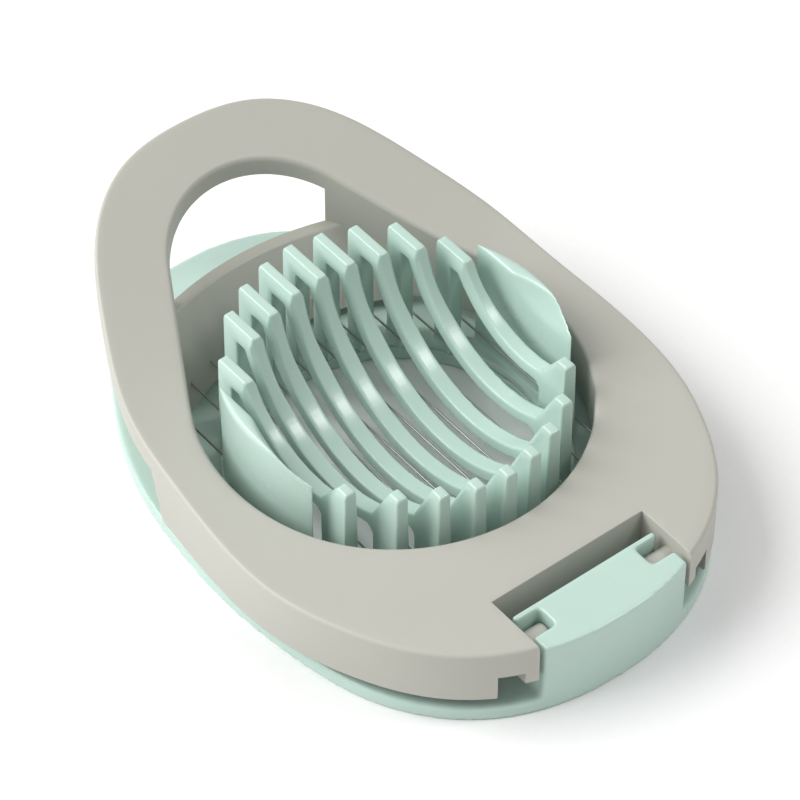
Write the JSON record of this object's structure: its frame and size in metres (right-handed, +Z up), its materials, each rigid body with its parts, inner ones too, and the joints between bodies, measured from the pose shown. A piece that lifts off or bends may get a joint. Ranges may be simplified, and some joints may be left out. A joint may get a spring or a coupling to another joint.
{
  "type": "egg slicer",
  "caption": "Hand-held egg slicer: ribbed egg cradle on a flat oval base, with a hinged frame lid strung with parallel cutting wires and a raised loop handle.",
  "frame": {"origin": "on the table under the middle of the closed slicer: the bottom centre of its bounding box", "axes": "+X along the slicer to the hinge end, +Y across it, +Z up"},
  "size_m": [0.1248, 0.0892, 0.0382],
  "materials": {
    "mint_plastic": "semi-gloss moulded",
    "grey_plastic": "satin moulded",
    "steel_wire": "bright drawn"
  },
  "bodies": {
    "base_body": {"base": "mint_plastic", "egg_cradle": "mint_plastic"},
    "lid_body": {"lid_frame": "grey_plastic", "wire_ring": "grey_plastic", "wire_01": "steel_wire", "wire_02": "steel_wire", "wire_03": "steel_wire", "wire_04": "steel_wire", "wire_05": "steel_wire", "wire_06": "steel_wire", "wire_07": "steel_wire", "wire_08": "steel_wire", "wire_09": "steel_wire", "wire_10": "steel_wire"}
  },
  "joints": [
    {"name": "lid_hinge", "type": "hinge", "parent": "base_body", "child": "lid_body", "pos_m": [0.0545, 0, 0.0113], "axis": [0, 1, 0], "range_deg": [0, 105]}
  ]
}
